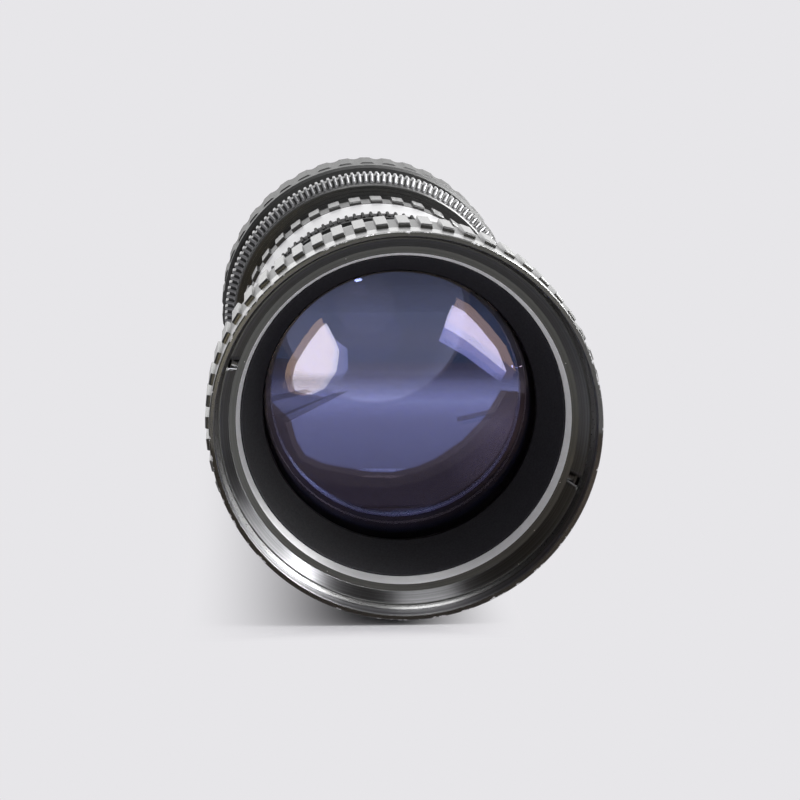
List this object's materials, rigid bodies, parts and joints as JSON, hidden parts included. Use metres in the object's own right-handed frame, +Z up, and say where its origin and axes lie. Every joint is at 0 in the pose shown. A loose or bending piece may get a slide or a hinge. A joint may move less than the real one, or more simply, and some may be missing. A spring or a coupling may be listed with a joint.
{
  "type": "cinema zoom lens",
  "caption": "Cinema zoom lens with toothed focus, zoom, knurled iris and scalloped macro rings, coated front glass in a threaded rim, and sliding and swinging inner groups.",
  "frame": {"origin": "on the optical axis, in the seat of the camera flange", "axes": "+Y along the optical axis towards the camera, front glass looks along -Y, +Z up, +X to the right seen from the front"},
  "size_m": [0.1164, 0.3163, 0.1164],
  "materials": {
    "black_satin": "black anodised, satin",
    "black_matt": "black anodised, matt",
    "turned_grey": "turned and dark grey anodised",
    "satin_silver": "satin silver",
    "inner_black": "black anodised, matt",
    "steel": "ground stainless",
    "iris_steel": "blackened spring steel",
    "brass": "turned",
    "coated_glass": "polished, blue-violet coating"
  },
  "bodies": {
    "barrel": {"main_barrel": "inner_black", "guide_barrel": "inner_black", "scale_band": "satin_silver", "rear_housing": "black_satin", "housing_screws": "steel", "rod_carrier": "inner_black", "guide_rods": "steel", "iris_plate": "inner_black", "rear_barrel": "black_satin", "mount_flange": "steel", "mount_screws": "steel"},
    "front_group": {"front_rim": "black_satin", "trim_ring": "turned_grey", "front_baffle": "black_matt", "front_cell": "inner_black", "front_element": "coated_glass", "glass_spacer": "inner_black", "second_element": "coated_glass", "focus_rollers": "brass"},
    "focus_rotor": {"focus_ring": "black_satin", "focus_sleeve": "black_satin", "focus_gear": "black_matt", "gear_screws": "steel"},
    "zoom_rotor": {"zoom_ring": "black_satin", "cam_drum": "inner_black", "zoom_key": "steel"},
    "variator": {"variator_cell": "inner_black", "variator_front_glass": "coated_glass", "variator_rear_glass": "coated_glass", "variator_rollers": "brass"},
    "compensator": {"compensator_cell": "inner_black", "compensator_glass": "coated_glass", "compensator_rollers": "brass"},
    "iris_rotor": {"iris_ring": "black_satin", "iris_pin": "steel", "iris_actuator": "inner_black"},
    "macro_rotor": {"macro_ring": "black_satin"},
    "relay": {"relay_cell": "inner_black", "relay_front_glass": "coated_glass", "relay_rear_glass": "coated_glass", "relay_retaining_ring": "inner_black", "relay_roller": "brass"},
    "blade_1": {"iris_blade_1": "iris_steel"},
    "blade_2": {"iris_blade_2": "iris_steel"},
    "blade_3": {"iris_blade_3": "iris_steel"},
    "blade_4": {"iris_blade_4": "iris_steel"},
    "blade_5": {"iris_blade_5": "iris_steel"},
    "blade_6": {"iris_blade_6": "iris_steel"}
  },
  "joints": [
    {"name": "focus_turn", "type": "hinge", "parent": "barrel", "child": "focus_rotor", "pos_m": [0, -0.2805, 0], "axis": [0, 1, 0], "range_deg": [0, 110]},
    {"name": "front_slide", "type": "slide", "parent": "barrel", "child": "front_group", "axis": [0, -1, 0], "range_m": [0, 0.009]},
    {"name": "zoom_turn", "type": "hinge", "parent": "barrel", "child": "zoom_rotor", "pos_m": [0, -0.11805, 0], "axis": [0, 1, 0], "range_deg": [0, 120]},
    {"name": "variator_slide", "type": "slide", "parent": "barrel", "child": "variator", "axis": [0, 1, 0], "range_m": [0, 0.055]},
    {"name": "compensator_slide", "type": "slide", "parent": "barrel", "child": "compensator", "axis": [0, -1, 0], "range_m": [0, 0.03]},
    {"name": "iris_turn", "type": "hinge", "parent": "barrel", "child": "iris_rotor", "pos_m": [0, -0.0779, 0], "axis": [0, 1, 0], "range_deg": [0, 60]},
    {"name": "blade_1_swing", "type": "hinge", "parent": "barrel", "child": "blade_1", "pos_m": [0.033, -0.0839, 0], "axis": [0, -1, 0], "range_deg": [0, 36]},
    {"name": "blade_2_swing", "type": "hinge", "parent": "barrel", "child": "blade_2", "pos_m": [0.0165, -0.0839, 0.02858], "axis": [0, -1, 0], "range_deg": [0, 36]},
    {"name": "blade_3_swing", "type": "hinge", "parent": "barrel", "child": "blade_3", "pos_m": [-0.0165, -0.0839, 0.02858], "axis": [0, -1, 0], "range_deg": [0, 36]},
    {"name": "blade_4_swing", "type": "hinge", "parent": "barrel", "child": "blade_4", "pos_m": [-0.033, -0.0839, 0], "axis": [0, -1, 0], "range_deg": [0, 36]},
    {"name": "blade_5_swing", "type": "hinge", "parent": "barrel", "child": "blade_5", "pos_m": [-0.0165, -0.0839, -0.02858], "axis": [0, -1, 0], "range_deg": [0, 36]},
    {"name": "blade_6_swing", "type": "hinge", "parent": "barrel", "child": "blade_6", "pos_m": [0.0165, -0.0839, -0.02858], "axis": [0, -1, 0], "range_deg": [0, 36]},
    {"name": "macro_turn", "type": "hinge", "parent": "barrel", "child": "macro_rotor", "pos_m": [0, -0.0425, 0], "axis": [0, 1, 0], "range_deg": [0, 60]},
    {"name": "relay_slide", "type": "slide", "parent": "barrel", "child": "relay", "axis": [0, -1, 0], "range_m": [0, 0.005]}
  ],
  "couplings": [
    {"joint": "front_slide", "follows": "focus_turn", "m_per_rad": 0.0046878},
    {"joint": "variator_slide", "follows": "zoom_turn", "m_per_rad": 0.026261},
    {"joint": "compensator_slide", "follows": "zoom_turn", "m_per_rad": 0.014324},
    {"joint": "relay_slide", "follows": "macro_turn", "m_per_rad": 0.0047746},
    {"joint": "blade_1_swing", "follows": "iris_turn", "ratio": 0.6},
    {"joint": "blade_2_swing", "follows": "iris_turn", "ratio": 0.6},
    {"joint": "blade_3_swing", "follows": "iris_turn", "ratio": 0.6},
    {"joint": "blade_4_swing", "follows": "iris_turn", "ratio": 0.6},
    {"joint": "blade_5_swing", "follows": "iris_turn", "ratio": 0.6},
    {"joint": "blade_6_swing", "follows": "iris_turn", "ratio": 0.6}
  ]
}
